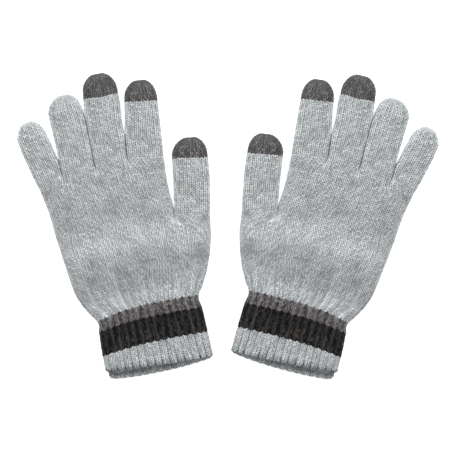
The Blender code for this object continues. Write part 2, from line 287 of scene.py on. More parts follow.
def side_spread(roll, count):
    """Fractions across a section whose sides round over, closer together near the sides."""
    x = np.linspace(0, 1, 801)
    steep = np.gradient(crown(np.minimum(x, 1 - x) / roll), x)
    pace = 0.8 + 0.2 * np.sqrt(1 + (0.35 * steep) ** 2)
    length = np.concatenate([[0], np.cumsum((pace[1:] + pace[:-1]) / 2)])
    return np.interp(np.linspace(0, 1, count), length / length[-1], x)


# Frame of each glove ------------

JOINTS = {joint["name"]: joint for joint in frame["joints"]}


def corners(node):
    """All corners of a CAD node, in world metres."""
    data = frame["nodes"][node].data
    flat = np.zeros(len(data.vertices) * 3, np.float32)
    data.vertices.foreach_get("co", flat)
    return flat.reshape(-1, 3).astype(float)


class Glove:
    """The frame of one glove, and the place and lean of each finger, all read from the CAD model."""

    def __init__(self, side):
        fold = JOINTS[f"{side}_wrist_bend"]
        across = Vector(fold["axis"])
        if across.x < 0:
            across = -across
        self.side = side
        self.origin = np.array((fold["pos_m"][0], fold["pos_m"][1], 0.0))
        self.forward = np.array(Vector((0, 0, 1)).cross(across))
        self.thumbward = np.array(across if side == "left" else -across)
        self.seed = SEED
        self.roots = {name: self.root(name) for name in STRIPS}

    def root(self, name):
        """Root, directions, length and root width of one finger, and where its tip begins."""
        hinge = JOINTS[f"{self.side}_{name}_bend"]
        axis = np.array(hinge["axis"], float)
        way = np.array((-axis[1], axis[0]))
        if way[1] < 0:
            way = -way
        forward = np.array((way @ self.thumbward[:2], way @ self.forward[:2]))
        across = np.array((forward[1], -forward[0]))
        centre = self.local(np.array(hinge["pos_m"]))[:2]
        nodes = [node for node in frame["nodes"] if node.startswith(f"{self.side}_{name}")]
        points = np.concatenate([self.local(corners(node)) for node in nodes])[:, :2] - centre
        along, wide = points @ forward, points @ across
        seam = f"{self.side}_{name}_tip"
        seam = ((self.local(corners(seam))[:, :2] - centre) @ forward).min() if seam in nodes else None
        return {
            "centre": centre,
            "forward": forward,
            "across": across,
            "length": along.max(),
            "root": 2 * wide[along < along.min() + 1].max(),
            "seam": seam,
        }

    def local(self, points):
        """World metres to this glove's millimetres."""
        offset = np.asarray(points, float) - self.origin
        ways = (self.thumbward, self.forward, np.array((0.0, 0.0, 1.0)))
        return np.stack([offset @ way for way in ways], -1) / MM

    def world(self, points):
        """This glove's millimetres to world metres."""
        ways = np.array([self.thumbward, self.forward, (0, 0, 1)])
        return self.origin + (np.asarray(points) * MM) @ ways


# Rows of the hand ------------

FINE = np.linspace(0, 1, 401)


def line_across(sides, middle, outer_bow=0.0, inner_bow=0.0):
    """A plan line across the fabric, bowed down towards its two sides."""
    off = 2 * FINE - 1
    bow = np.where(off < 0, outer_bow, inner_bow) * off * off
    return np.stack([sides[0] + (sides[1] - sides[0]) * FINE, middle - bow], -1)


def mouth_line(sides, lip):
    """The mouth's edge: its outer corner rounds up, and the lower layer shows past the upper."""
    off = 1 - FINE
    if lip:
        rise = MOUTH_CORNER * off**60 - lip * np.sin(np.pi * FINE) ** 0.5
    else:
        rise = UPPER_LIP * off**1.6 + (MOUTH_CORNER - UPPER_LIP) * off**16
    return np.stack([sides[0] + (sides[1] - sides[0]) * FINE, MOUTH + rise], -1)


def broken(points, breaks):
    """A plan line whose corners fall at the given shares of the width."""
    points = np.array(points)
    return np.stack([np.interp(FINE, breaks, points[:, axis]) for axis in (0, 1)], -1)


def knuckles(glove):
    """The five corners of the line of finger roots, from the little finger's side."""
    ends = []
    for name in FINGERS:
        root = glove.roots[name]
        half = root["across"] * root["root"] / 2
        ends += [root["centre"] - half, root["centre"] + half]
    inner = [(a + b) / 2 + np.array((0.0, KNUCKLE_LIFT)) for a, b in zip(ends[1:-1:2], ends[2:-1:2])]
    first = ends[0] - glove.roots["little"]["across"] * SKIN
    last = ends[-1] - glove.roots["index"]["across"] * SKIN
    return [first, *inner, last]


def thumb_outer(glove):
    """The outer end of the thumb's root."""
    root = glove.roots["thumb"]
    return root["centre"] + root["across"] * (root["root"] / 2 + THUMB_HEEL)


def wale_breaks(counts):
    """Fractions of the width at which each group of wales begins and ends."""
    total = np.cumsum([0, *counts])
    return total / total[-1]


def rib_warp(wale):
    """Where each wale sits when the fabric is drawn into ribs: sunk wales close up."""
    rib, part = np.floor(wale / RIB), np.mod(wale, RIB)
    raised = (1 - SUNK_SHARE) / (RIB - 1)
    return RIB * (rib + np.interp(part, [0, 1, 2, 3], [0.0, raised, raised + SUNK_SHARE, 1.0]))


def grouped(counts, widths, roll):
    """Column shares and crown for groups of wales that each round over at their own two sides."""
    breaks = wale_breaks(counts)
    shares, edge = [], []
    for number, (count, width) in enumerate(zip(counts, widths)):
        own = min(FINGER_ROLL, roll / width)
        spread = side_spread(own, count * COLUMNS + 1)
        skip = 0 if number == 0 else 1
        shares.append((breaks[number] + (breaks[number + 1] - breaks[number]) * spread)[skip:])
        edge.append((np.minimum(spread, 1 - spread) / own)[skip:])
    return np.concatenate(shares), np.concatenate(edge)


def sections(rows, total, near_end, whole_width, whole_roll, parts, part_widths, part_roll):
    """Column shares and distances from a side, going from one whole sleeve to parted ones.

    Distances are in shares of the roll. near_end is 1 on rows that are fully parted.
    """
    drawn_in = (1 - smooth(0.0, DRAWN_IN, rows))[:, None] if total == sum(WALES.values()) else 0.0
    wale = np.arange(total * COLUMNS + 1) / COLUMNS
    even = side_spread(whole_roll / whole_width, len(wale))
    ribbed = np.interp(rib_warp(wale) / total, wale / total, even)
    whole = even + (ribbed - even) * drawn_in
    split, split_edge = grouped(parts, part_widths, part_roll)
    near = near_end[:, None]
    shares = whole + (split - whole) * near
    whole_edge = np.minimum(shares, 1 - shares) * whole_width
    return shares, whole_edge, np.broadcast_to(split_edge, shares.shape)


def place(stations, levels, rows, shares):
    """Plan points of each row, read across its line at the column shares."""
    lines = spline(levels, stations, rows)
    x = np.stack([np.interp(s, FINE, line[:, 0]) for s, line in zip(shares, lines)])
    y = np.stack([np.interp(s, FINE, line[:, 1]) for s, line in zip(shares, lines)])
    return x, y


def heights(rows, crowns, split_crowns, near_end, lower, pinch):
    """Height of each point of a layer, from its crown as a whole and its crown as parted."""
    near = near_end[:, None]
    wide = crowns + (split_crowns - crowns) * near
    top = read(TOP_LEVELS, rows)[:, None]
    apart = PINCH * pinch * near
    if lower:
        return SIDE_LEVEL - (SIDE_LEVEL - FLOOR_LEVEL) * wide - apart
    return SIDE_LEVEL + (top - SIDE_LEVEL) * wide + apart


def ring(top, bottom):
    """Closed rows round the sleeve, from the outer fold over the top and back underneath."""
    return np.concatenate([top, bottom[:, -2:0:-1]], axis=1)


def hand_layer(rows, stations, levels, widths, parts, part_widths, part_roll, near_end, lower):
    """One layer of the hand before its ribs and stitches."""
    total = sum(parts)
    whole_width, whole_roll = widths
    narrow = UNDER_ROLL if lower else 1.0
    shares, whole_edge, split_edge = sections(
        rows, total, near_end, whole_width, whole_roll, parts, part_widths, part_roll
    )
    x, y = place(stations, levels, rows, shares)
    crowns = crown(whole_edge / (read(ROLL_LEVELS, rows) * narrow)[:, None])
    split_crowns = crown(split_edge / narrow)
    pinch = (split_edge < 1e-6) * 1.0
    pinch[:, 0] = 0.0
    pinch[:, -1] = 0.0
    z = heights(rows, crowns, split_crowns, near_end, lower, pinch)
    return np.stack([x, y, z], -1)


def lower_hand(glove):
    """Rows of the cuff and the lower palm, up to the thumb crotch and the thumb's root."""
    rows = np.arange(-CUFF_COURSES * ROWS, LOWER_COURSES * ROWS + 1) / ROWS
    fingers = sum(WALES[name] for name in FINGERS)
    parts = (fingers, WALES["thumb"])
    corner = (PALM_SIDES[1], CROTCH_RISE)
    root = thumb_outer(glove)
    part_widths = (PALM_SIDES[1] - PALM_SIDES[0], math.dist(corner, root))
    near = 1 - smooth(0.0, LOBE_FADE, (LOWER_COURSES - rows) * COURSE)
    layers = []
    for lower in (False, True):
        lip = LOWER_LIP if lower else 0.0
        levels = [-CUFF_COURSES, -BLACK_COURSES - GREY_COURSES, -GREY_COURSES, 0.0]
        stations = [
            mouth_line(CUFF_SIDES[3], lip),
            line_across(CUFF_SIDES[2], *BLACK_LINE),
            line_across(CUFF_SIDES[1], *GREY_LINE),
            line_across(CUFF_SIDES[0], *WRIST_LINE),
        ]
        for rise, outer, inner in OUTLINE:
            levels.append((rise - WRIST_LINE[0]) / (CROTCH_RISE - WRIST_LINE[0]) * LOWER_COURSES)
            bow = 1 - float(smooth(0.0, HEEL_BOW_FADE, rise))
            stations.append(line_across((outer, inner), rise, HEEL_BOW[0] * bow, HEEL_BOW[1] * bow))
        levels.append(LOWER_COURSES)
        stations.append(broken([(PALM_SIDES[0], CROTCH_RISE), corner, root], wale_breaks(parts)))
        whole = (HAND_WIDTH, PALM_ROLL)
        layer = hand_layer(rows, stations, levels, whole, parts, part_widths, PALM_ROLL, near, lower)
        layers.append(layer)
    return rows, ring(*layers)


def upper_hand(glove):
    """Rows of the upper palm, from the thumb crotch to the finger roots."""
    rows = np.arange(LOWER_COURSES * ROWS, (LOWER_COURSES + UPPER_COURSES) * ROWS + 1) / ROWS
    parts = [WALES[name] for name in FINGERS]
    breaks = wale_breaks(parts)
    line = broken(knuckles(glove), breaks)
    rise, outer, inner = UPPER_MIDDLE
    rise = rise + 0.5 * (line[:, 1] - line[:, 1].mean())
    middle = np.stack([outer + (inner - outer) * FINE, rise], -1)
    bottom = broken([(PALM_SIDES[0], CROTCH_RISE), (PALM_SIDES[1], CROTCH_RISE)], [0.0, 1.0])
    stations = [bottom, middle, line]
    levels = [rows[0], (rows[0] + rows[-1]) / 2, rows[-1]]
    near = 1 - smooth(0.0, LOBE_FADE, (rows[-1] - rows) * COURSE)
    part_widths = [glove.roots[name]["root"] for name in FINGERS]
    whole = (PALM_SIDES[1] - PALM_SIDES[0], PALM_ROLL)
    layers = [
        hand_layer(rows, stations, levels, whole, parts, part_widths, ANY_ROLL, near, lower)
        for lower in (False, True)
    ]
    return rows, ring(*layers)


def finger_rows(glove, name):
    """Rows of a finger and its distances from the root, closing at the rounded tip."""
    root = glove.roots[name]
    straight = root["length"] - TIP_ROUND - FINGER_SIDES[name][3]
    courses = round(straight / COURSE)
    along = np.linspace(0, straight, courses * ROWS + 1)
    turn = np.linspace(0, TIP_TURN * np.pi / 2, TIP_COURSES * ROWS + 1)[1:]
    rows = np.arange(len(along) + len(turn)) / ROWS
    rounded = np.concatenate([np.zeros(len(along)), np.sin(turn)])
    level = np.concatenate([np.ones(len(along)), np.cos(turn)])
    along = np.concatenate([along, straight + TIP_ROUND * np.sin(turn)])
    return rows, along, rounded, level


def finger_plan(root, name, along, rounded):
    """Where a finger's columns lie on each row, from its middle line."""
    outer, inner, lean, _ = FINGER_SIDES[name]
    left, right = read(outer, along) + SKIN, read(inner, along) - SKIN
    taper = TIP_END + (1 - TIP_END) * np.sqrt(np.clip(1 - rounded**2, 0, 1))
    width = (right - left) * taper
    middle = (left + right) / 2 + lean * rounded**2
    spread = side_spread(FINGER_ROLL, WALES[name] * COLUMNS + 1)
    offset = middle[:, None] + (spread - 0.5)[None, :] * width[:, None]
    plan = root["centre"] + along[:, None, None] * root["forward"] + offset[:, :, None] * root["across"]
    return plan, np.minimum(spread, 1 - spread) / FINGER_ROLL


def seam_waves(glove, name, along):
    """How far each point is moved along its finger, so that the line where the tip begins wanders."""
    wale = np.arange(WALES[name] * COLUMNS + 1) / COLUMNS
    hills = cloud(wale / 3.0, 0.0 * wale, 1.0, glove.seed + STRIPS.index(name) + 60)
    waves = SEAM_DROP + SEAM_WAVES * hills
    near = np.exp(-(((along - glove.roots[name]["seam"]) / SEAM_REACH) ** 2))[:, None, None]
    return near * waves[None, :, None] * glove.roots[name]["forward"]


def finger_sleeve(glove, name):
    """Rows of one finger before its stitches, and the course where its tip begins."""
    root = glove.roots[name]
    rows, along, rounded, level = finger_rows(glove, name)
    plan, edge = finger_plan(root, name, along, rounded)
    start = read(TOP_LEVELS, [LOWER_COURSES if name == "thumb" else HAND_COURSES])[0]
    top = FINGER_TOP + (start - FINGER_TOP) * (1 - smooth(0.0, FINGER_LEVEL_FADE, along))
    under = SIDE_LEVEL - (SIDE_LEVEL - FLOOR_LEVEL) * crown(edge / UNDER_ROLL) * level[:, None]
    over = SIDE_LEVEL + (top[:, None] - SIDE_LEVEL) * crown(edge) * level[:, None]
    seam = None
    if root["seam"] is not None:
        plan = plan + seam_waves(glove, name, along)
        seam = int(round(np.interp(root["seam"], along, rows)))
    layers = [np.concatenate([plan, z[:, :, None]], -1) for z in (over, under)]
    return rows, along, ring(*layers), seam


# Stitches ------------

def normals(points):
    """Outward directions of a sleeve's rows, closed round each row."""
    across = np.roll(points, -1, axis=1) - np.roll(points, 1, axis=1)
    up = np.gradient(points, axis=0)
    return unit(np.cross(across, up))


def chevron(wale):
    """How far a point of a wale stands above the wale's middle, in courses."""
    return CHEVRON * (np.abs(2 * np.mod(wale, 1.0) - 1) - 0.5)


def rib_hollow(wale, rows, seed):
    """How hollow the fabric is between two ribs, 0 to 1, fading out above the wrist."""
    part = np.mod(rib_warp(wale) / RIB, 1.0)
    off = np.abs(part - 0.5)
    crisp = 1 - np.sqrt(np.clip(1 - (1 - 2 * off) ** 2, 0, 1))
    soft = 0.5 + 0.5 * np.cos(2 * np.pi * off)
    mouth = 1 - smooth(-CUFF_COURSES, -CUFF_COURSES + 4.0, rows)
    round_over = np.maximum(0.6 * smooth(-1.0, 4.0, rows), mouth)[:, None]
    hollow = crisp[None, :] + (soft[None, :] - crisp[None, :]) * round_over
    ribs = np.floor(wale / RIB).astype(int)
    chance = np.random.default_rng(seed).random(ribs.max() + 1)[ribs]
    reach = RIB_REACH[0] + RIB_REACH[1] * chance ** 1.2
    fade = 1 - np.clip(rows[:, None] / reach[None, :], 0, 1)
    hills = cloud(wale[None, :] / RIB_UNEVEN[0], rows[:, None] / RIB_UNEVEN[1], 1.0, seed + 1)
    return hollow * fade * (0.85 + 0.25 * hills) * (1 + 0.3 * mouth[:, None])


def loose_folds(wale, rows, seed):
    """Depth of the irregular folds where the cuff draws the hand in."""
    hills = cloud(wale[None, :] / FOLD_SPAN[0], rows[:, None] / FOLD_SPAN[1], 1.0, seed)
    fade = smooth(-1.0, 3.0, rows) * (1 - smooth(4.0, FOLD_REACH, rows))
    return FOLD_DEPTH * hills * fade[:, None]


def rib_lift(rows):
    """How far each row's ribs are drawn along the cuff, in courses: not at the very edge."""
    turned = smooth(-CUFF_COURSES, -CUFF_COURSES + 5, rows)
    return RIB_LIFT * turned * (1 - smooth(0.0, 6.0, rows))


def loosen(rows, wale, points, seed, wander):
    """A sleeve with soft hills and wandering wales, and how far each point is from the table."""
    way = normals(points)
    x, y = points[..., 0], points[..., 1]
    swell = sum(height * cloud(x, y, size, seed + number) for number, (size, height) in enumerate(SWELLS))
    rest = np.clip((points[..., 2] - SIDE_LEVEL) / 4.0, 0, 1)
    points = points + way * (swell * rest)[..., None]
    aside = unit(np.cross(np.gradient(points, axis=0), way))
    hills = cloud(wale[None, :] / WANDER_SPAN[0], rows[:, None] / WANDER_SPAN[1], 1.0, seed + 5)
    return points + aside * (hills * wander * rest)[..., None], way, rest


def stitches(rows, wale, points, rise, seed):
    """How far the stitches stand out at each point."""
    pitch = np.linalg.norm(np.roll(points, -1, axis=1) - points, axis=-1) * COLUMNS
    high = np.linalg.norm(rise, axis=-1)
    column, course = np.floor(wale).astype(int), np.floor(rows - rows[0]).astype(int)
    rng = np.random.default_rng(seed)
    loft = rng.uniform(*STITCH_LOFT, (course.max() + 1, column.max() + 1))[course][:, column]
    legs = np.abs(np.sin(2 * np.pi * np.mod(wale, 1.0)))[None, :] ** 0.7
    loops = np.abs(np.sin(np.pi * rows))[:, None] ** 0.8
    relief = STITCH_RELIEF * loft * (legs * (0.5 + 0.5 * loops) + (1 - legs) * 0.45 * loops)
    return relief * np.clip(pitch / FULL_STITCH[0], 0.25, 1.0) * np.clip(high / FULL_STITCH[1], 0.2, 1.0)


def knit(rows, points, seed, ribbed=False):
    """A sleeve's knitted outside, its plain inside, its outward ways, its hollows, and its painted light
    and shade.
    """
    wale = np.arange(points.shape[1]) / COLUMNS
    points, way, rest = loosen(rows, wale, points, seed, RIBBED_WANDER if ribbed else WANDER)
    hollow, lift, painted_shading = [np.full(points.shape[:2], value) for value in (0.0, 0.0, 1.0)]
    if ribbed:
        hollow = rib_hollow(wale, rows, seed + 2)
        lift = rib_lift(rows)[:, None] * (0.25 - hollow)
        folds = loose_folds(wale, rows, seed + 4)
        points = points - way * (RIB_DEPTH * hollow - rest * folds)[..., None]
        # The groove mask also sets where the material paints shade in the grooves on light grey yarn
        above = 1 - 0.15 * smooth(-1.0, 1.0, rows)
        ribs = np.floor(wale / RIB).astype(int)
        crisp = np.random.default_rng(seed + 6).uniform(0.6, 1.0, ribs.max() + 1)[ribs]
        hollow = np.clip(hollow, 0, 1) * above[:, None] * crisp[None, :]
        # Painted light and shade: lighter on the folds' ridges, darker in their valleys
        painted_shading = painted_shading + FOLD_PAINTED_SHADING * folds
    way = normals(points)
    # Painted light where the fabric rounds down at the sides
    painted_shading = painted_shading + np.minimum(SIDE_PAINTED_LIGHT[0] * (1 - np.clip(way[..., 2], 0, 1)), SIDE_PAINTED_LIGHT[1])
    rise = np.gradient(points, axis=0) * ROWS
    relief = stitches(rows, wale, points, rise, seed + 3)
    lining = points + rise * (chevron(wale)[None, :] + lift)[..., None]
    return lining + way * relief[..., None], lining, way, hollow, painted_shading


def gaps(points):
    """Distance between the two layers of a sleeve at each point, and ample at its folds."""
    count = points.shape[1]
    mirror = (-np.arange(count)) % count
    gap = np.abs(points[..., 2] - points[:, mirror, 2])
    gap[:, [0, count // 2]] = 99.0
    return gap


def join(points, edge):
    """Bring a sleeve's first row onto its neighbour's edge, fading away from it."""
    delta = edge - points[0]
    run = np.concatenate([[0], np.cumsum(np.linalg.norm(np.diff(points, axis=0), axis=-1).mean(1))])
    fade = 1 - smooth(0.0, JOIN_FADE, run)
    return points + delta[None] * fade[:, None, None]


def strip_edge(last, begin, end):
    """The part of a row between two wales, over the top and back underneath, as its own ring."""
    count = last.shape[0]
    half = count // 2
    a, b = begin * COLUMNS, end * COLUMNS
    top = last[a:b + 1].copy()
    under = last[(count - np.arange(a, b + 1)) % count].copy()
    for corner in (0, -1):
        top[corner] = (top[corner] + under[corner]) / 2
    return np.concatenate([top, under[-2:0:-1]])


# Yarn materials ------------

STREAK = 0.6                    # a fibre's flecks run along the wale: a course counts as this long
COOL_TINT = (0.94, 0.985, 1.04, 1.0)
WARM_TINT = (1.035, 1.01, 0.945, 1.0)
HOLLOW_SHADE = (0.07, 0.075, 0.09, 1.0)


def paint(red, green, blue):
    """A colour given as it looks on a screen, 0 to 255, as the shader takes it."""
    parts = [value / 255 for value in (red, green, blue)]
    return (*[p / 12.92 if p < 0.04045 else ((p + 0.055) / 1.055) ** 2.4 for p in parts], 1.0)


class Nodes:
    """Short ways to add nodes to a tree. Values may be sockets or plain numbers or colours."""

    def __init__(self, tree):
        self.tree = tree

    def add(self, kind):
        return self.tree.nodes.new(f"ShaderNode{kind}")

    def feed(self, socket, value):
        if isinstance(value, bpy.types.NodeSocket):
            self.tree.links.new(value, socket)
        else:
            socket.default_value = value

    def math(self, operation, *values, clamp=False):
        node = self.add("Math")
        node.operation = operation
        node.use_clamp = clamp
        for socket, value in zip(node.inputs, values):
            self.feed(socket, value)
        return node.outputs[0]

    def times(self, first, second):
        return self.math("MULTIPLY", first, second)

    def plus(self, first, second):
        return self.math("ADD", first, second)

    def power(self, first, second):
        return self.math("POWER", first, second)

    def less(self, first):
        return self.math("SUBTRACT", 1.0, first)

    def wave(self, value, turns):
        return self.math("ABSOLUTE", self.math("SINE", self.times(value, turns * math.pi)))

    def mix(self, mode, factor, first, second):
        node = self.add("Mix")
        node.data_type = "RGBA"
        node.blend_type = mode
        for number, value in ((0, factor), (6, first), (7, second)):
            self.feed(node.inputs[number], value)
        return node.outputs[2]

    def noise(self, vector, scale, detail):
        node = self.add("TexNoise")
        for name, value in (("Scale", scale), ("Detail", detail), ("Vector", vector)):
            self.feed(node.inputs[name], value)
        return node.outputs["Fac"]

    def ramp(self, value, low, high):
        """0 at low, 1 at high, eased between."""
        node = self.add("MapRange")
        node.interpolation_type = "SMOOTHSTEP"
        for name, given in (("From Min", low), ("From Max", high), ("Value", value)):
            self.feed(node.inputs[name], given)
        return node.outputs["Result"]

    def cell(self, across, along):
        node = self.add("CombineXYZ")
        self.feed(node.inputs[0], across)
        self.feed(node.inputs[1], along)
        return node.outputs[0]

    def chance(self, across, along):
        """A random number for each whole cell."""
        node = self.add("TexWhiteNoise")
        node.noise_dimensions = "2D"
        self.feed(node.inputs["Vector"], self.cell(self.math("FLOOR", across), self.math("FLOOR", along)))
        return node.outputs["Value"]

    def attribute(self, name):
        node = self.add("Attribute")
        node.attribute_name = name
        return node.outputs["Fac"]


def melange(n, given, wale, course, fibres, in_mm):
    """Colour of a melange yarn: pale and dark fibres, tints, and soft random blotches under painted light
    and shade.
    """
    amount = given["Melange"]
    mixed = n.plus(n.times(fibres, 0.6), n.times(n.noise(in_mm, 1.4, 2.0), 0.4))
    leg = n.math("SUBTRACT", n.chance(n.times(wale, 2.0), course), 0.5)
    mixed = n.plus(mixed, n.times(leg, 0.29))
    pale = n.times(n.ramp(mixed, 0.50, 0.72), amount)
    dark = n.times(n.ramp(mixed, 0.50, 0.28), amount)
    colour = n.mix("MIX", pale, given["Yarn"], given["Pale fibre"])
    colour = n.mix("MIX", dark, colour, given["Dark fibre"])
    tints = n.ramp(n.noise(in_mm, 0.8, 1.0), 0.36, 0.64)
    colour = n.mix("MULTIPLY", amount, colour, n.mix("MIX", tints, COOL_TINT, WARM_TINT))
    blotches = n.plus(n.times(n.noise(in_mm, 0.09, 2.0), 0.7), n.times(n.noise(in_mm, 0.33, 2.0), 0.3))
    cloudy = n.add("HueSaturation")
    # Lightness: random blotches, times the painted light and shade kept at each point
    n.feed(cloudy.inputs["Value"], n.times(n.plus(n.times(blotches, 1.15), 0.46), n.attribute("painted_shading")))
    n.feed(cloudy.inputs["Color"], colour)
    return cloudy.outputs[0]


def stitch_hollows(n, given, wale, course):
    """How deep each point lies between the legs of the stitches, 0 to 1."""
    across, along = n.less(n.wave(wale, 2.0)), n.less(n.wave(course, 1.0))
    holes = n.times(n.power(across, 0.7), n.power(along, 0.6))
    uneven = n.chance(n.plus(n.times(wale, 2.0), 0.5), n.plus(course, 0.5))
    uneven = n.plus(n.times(uneven, 1.2), 0.52)
    uneven = n.times(uneven, n.math("SUBTRACT", 1.25, n.times(n.wave(wale, 1.0), 0.5)))
    lines = n.plus(n.times(n.power(across, 2.0), 0.2), n.times(n.power(along, 4.0), 0.12))
    return n.math("MULTIPLY", n.plus(n.times(holes, uneven), lines), given["Hollow"], clamp=True)


def knit_group():
    """Shader group: the colours, painted shade and hairiness of a knitted yarn, from the stitch map."""
    tree = bpy.data.node_groups.new("knitted_yarn", "ShaderNodeTree")
    for name, way, kind in (
        ("Yarn", "INPUT", "Color"),
        ("Pale fibre", "INPUT", "Color"),
        ("Dark fibre", "INPUT", "Color"),
        ("Groove", "INPUT", "Color"),
        ("Melange", "INPUT", "Float"),
        ("Hollow", "INPUT", "Float"),
        ("Colour", "OUTPUT", "Color"),
        ("Height", "OUTPUT", "Float"),
        ("Roughness", "OUTPUT", "Float"),
    ):
        tree.interface.new_socket(name, in_out=way, socket_type=f"NodeSocket{kind}")
    given = tree.nodes.new("NodeGroupInput").outputs
    out = tree.nodes.new("NodeGroupOutput").inputs
    n = Nodes(tree)
    stitch_map = n.add("UVMap")
    stitch_map.uv_map = "Stitches"
    split = n.add("SeparateXYZ")
    n.feed(split.inputs[0], stitch_map.outputs[0])
    wale, course = split.outputs[0], split.outputs[1]
    in_mm = n.cell(n.times(wale, WALE), n.times(course, COURSE))
    streaky = n.cell(n.times(wale, WALE), n.times(course, STREAK))
    fibres = n.noise(streaky, 3.2, 3.0)
    colour = melange(n, given, wale, course, fibres, in_mm)
    # Painted shade: the colour darkens in the holes between the stitches' legs
    colour = n.mix("MULTIPLY", stitch_hollows(n, given, wale, course), colour, HOLLOW_SHADE)
    # Painted shade on light grey yarn: grooves and creases take the groove colour; the dark yarns take a
    # paler one
    groove = n.times(n.power(n.attribute("sunk"), 1.3), n.plus(n.times(fibres, 0.6), 0.6))
    n.feed(out["Colour"], n.mix("MIX", groove, colour, given["Groove"]))
    hair = n.noise(streaky, 6.5, 2.0)
    n.feed(out["Height"], n.plus(n.times(hair, 0.6), n.times(fibres, 0.6)))
    n.feed(out["Roughness"], n.plus(n.times(fibres, 0.2), 0.76))
    return tree


KNIT = knit_group()


def yarn(name, colours, melange_share, hollow, sheen):
    """A yarn's material: the knit group feeding a soft shader with a fibre sheen.

    Its colours are those of the yarn, its pale and dark fibres, and grooves and creases (painted shade on
    light grey).
    """
    material = bpy.data.materials.new(name)
    material.use_nodes = True
    n = Nodes(material.node_tree)
    shader = n.tree.nodes["Principled BSDF"]
    group = n.add("Group")
    group.node_tree = KNIT
    bump = n.add("Bump")
    n.feed(bump.inputs["Strength"], 0.5)
    n.feed(bump.inputs["Distance"], 0.0003)
    n.feed(bump.inputs["Height"], group.outputs["Height"])
    given = (*[paint(*colour) for colour in colours], melange_share, hollow)
    for socket, value in zip(group.inputs, given):
        n.feed(socket, value)
    for socket, value in (
        ("Specular IOR Level", 0.2),
        ("Sheen Weight", sheen),
        ("Sheen Roughness", 0.6),
        ("Normal", bump.outputs[0]),
        ("Base Color", group.outputs["Colour"]),
        ("Roughness", group.outputs["Roughness"]),
    ):
        n.feed(shader.inputs[socket], value)
    return material


YARNS = {
    # Light grey: its groove colour is painted shade in grooves and creases
    "light_grey_yarn": yarn(
        "light_grey_melange",
        ((198, 201, 202), (236, 238, 237), (128, 133, 142), (82, 86, 97)), 0.8, 1.0, 0.06,
    ),
    "conductive_yarn": yarn(
        "conductive_charcoal",
        ((96, 94, 94), (166, 163, 160), (54, 53, 54), (50, 49, 50)), 0.7, 0.9, 0.04,
    ),
    "dark_grey_yarn": yarn(
        "dark_grey_melange",
        ((92, 88, 89), (176, 172, 170), (44, 42, 44), (246, 240, 240)), 1.0, 1.0, 0.04,
    ),
    "black_yarn": yarn(
        "black_melange",
        ((8, 8, 7), (84, 81, 78), (2, 2, 2), (134, 129, 129)), 0.9, 0.6, 0.0,
    ),
    "elastic_thread": yarn(
        "elastic_white",
        ((225, 225, 222), (240, 240, 238), (190, 190, 188), (225, 225, 222)), 0.3, 0.1, 0.0,
    ),
}


# Pieces ------------

def sleeve_faces(total, count, closed, outer_rows):
    """Corner numbers of the faces of a shell, whose rows go up outside and back down inside.

    A closed shell is capped at its far end, outside and inside.
    """
    k = np.arange(total)
    if closed:
        k = k[k != outer_rows - 1]
    j = np.arange(count)
    k, j = [part.ravel() for part in np.meshgrid(k, j, indexing="ij")]
    after, beside = (k + 1) % total, (j + 1) % count
    quads = np.stack([k * count + j, k * count + beside, after * count + beside, after * count + j], -1)
    return k, j, quads


def cap_faces(row, count, flip):
    """Faces that close a row of a shell from its top to its underside."""
    half = count // 2
    base = row * count
    faces = []
    for j in range(half):
        ring_points = [j, j + 1, (count - j - 1) % count, (count - j) % count]
        corner_list = list(dict.fromkeys(ring_points))
        corner_list = [base + point for point in corner_list]
        faces.append(corner_list[::-1] if flip else corner_list)
    return faces


def shell(glove, name, points, courses, closed, outer_rows):
    """Mesh of a shell of rows of stitches, with a map for baking and a map of its stitches."""
    total, count = points.shape[:2]
    k, j, quads = sleeve_faces(total, count, closed, outer_rows)
    wale = np.stack([j, j + 1, j + 1, j], -1)
    level = np.stack([k, k, k + 1, k + 1], -1)
    maps = {
        "OFBake": (wale / count, level / total),
        "Stitches": (wale / COLUMNS, courses[level % total]),
    }
    mirrored = glove.side == "right"
    turn = -1 if mirrored else 1
    corners_of = quads[:, ::turn].ravel().tolist()
    sizes = [4] * len(quads)
    caps = []
    if closed:
        caps = cap_faces(outer_rows - 1, count, mirrored) + cap_faces(outer_rows, count, not mirrored)
    for cap in caps:
        corners_of += cap
        sizes.append(len(cap))
    mesh = bpy.data.meshes.new(name)
    mesh.vertices.add(total * count)
    mesh.vertices.foreach_set("co", glove.world(points.reshape(-1, 3)).astype(np.float32).ravel())
    mesh.loops.add(len(corners_of))
    mesh.loops.foreach_set("vertex_index", np.array(corners_of, np.int32))
    mesh.polygons.add(len(sizes))
    starts = np.concatenate([[0], np.cumsum(sizes)[:-1]]).astype(np.int32)
    mesh.polygons.foreach_set("loop_start", starts)
    mesh.update(calc_edges=True)
    mesh.validate()
    row, column = np.divmod(np.array(corners_of[len(quads) * 4:], int), count)
    ends = {"OFBake": (column / count, row / total), "Stitches": (column / COLUMNS, courses[row])}
    for label, (u, v) in maps.items():
        flat = np.stack([u[:, ::turn].ravel(), v[:, ::turn].ravel()], -1)
        flat = np.concatenate([flat, np.stack(ends[label], -1)])
        mesh.uv_layers.new(name=label).data.foreach_set("uv", flat.astype(np.float32).ravel())
    return mesh


def note(mesh, name, values):
    """Keep a value at each point of a mesh, for its material."""
    data = mesh.attributes.new(name, "FLOAT", "POINT").data
    data.foreach_set("value", np.asarray(values, np.float32).ravel())


def show(mesh, node, slot):
    """An object of knit that stands for a CAD node."""
    mesh.shade_smooth()
    obj = bpy.data.objects.new(f"knit_{node}", mesh)
    bpy.context.scene.collection.objects.link(obj)
    mesh.materials.append(YARNS[slot])
    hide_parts(node)
    return obj


